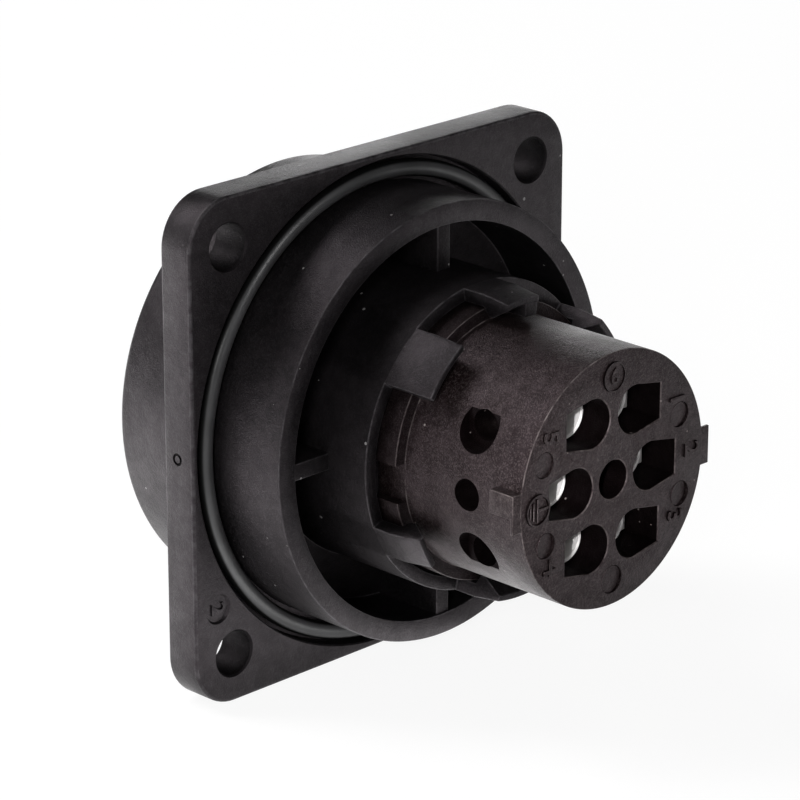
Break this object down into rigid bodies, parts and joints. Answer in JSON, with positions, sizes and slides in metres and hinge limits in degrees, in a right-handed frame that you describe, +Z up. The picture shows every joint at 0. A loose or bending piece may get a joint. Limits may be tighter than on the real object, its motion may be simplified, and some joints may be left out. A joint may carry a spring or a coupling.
{
  "type": "circular panel mount connector",
  "caption": "Square-flange circular receptacle for panel mounting: snap-in screw-terminal insert, rear collar with ribs, seal ring in the flange and a shrouded pin side.",
  "frame": {"origin": "centre of the flange face that seats on the panel", "axes": "+Y along the connector axis towards the mating side, -Y towards the wiring side, +Z up, +X right as seen from the wiring side"},
  "size_m": [0.036, 0.0316, 0.036],
  "materials": {
    "housing_plastic": "matt moulded",
    "seal_rubber": "satin",
    "insert_plastic": "fine grained moulded",
    "contact_silver": "silver plated, turned",
    "screw_steel": "plated"
  },
  "bodies": {
    "receptacle": {"housing": "housing_plastic", "panel_seal": "seal_rubber", "insert_body": "insert_plastic", "contact_1": "contact_silver", "contact_2": "contact_silver", "contact_3": "contact_silver", "contact_4": "contact_silver", "contact_5": "contact_silver", "contact_earth": "contact_silver"},
    "screw_1": {"terminal_screw_1": "screw_steel"},
    "screw_2": {"terminal_screw_2": "screw_steel"},
    "screw_3": {"terminal_screw_3": "screw_steel"},
    "screw_4": {"terminal_screw_4": "screw_steel"},
    "screw_5": {"terminal_screw_5": "screw_steel"},
    "screw_earth": {"terminal_screw_earth": "screw_steel"}
  },
  "joints": [
    {"name": "clamp_1", "type": "slide", "parent": "receptacle", "child": "screw_1", "axis": [-1, 0, 0], "range_m": [0, 0.0011]},
    {"name": "clamp_2", "type": "slide", "parent": "receptacle", "child": "screw_2", "axis": [-1, 0, 0], "range_m": [0, 0.0011]},
    {"name": "clamp_3", "type": "slide", "parent": "receptacle", "child": "screw_3", "axis": [-1, 0, 0], "range_m": [0, 0.0011]},
    {"name": "clamp_4", "type": "slide", "parent": "receptacle", "child": "screw_4", "axis": [1, 0, 0], "range_m": [0, 0.0011]},
    {"name": "clamp_5", "type": "slide", "parent": "receptacle", "child": "screw_5", "axis": [1, 0, 0], "range_m": [0, 0.0011]},
    {"name": "clamp_earth", "type": "slide", "parent": "receptacle", "child": "screw_earth", "axis": [1, 0, 0], "range_m": [0, 0.0011]}
  ]
}
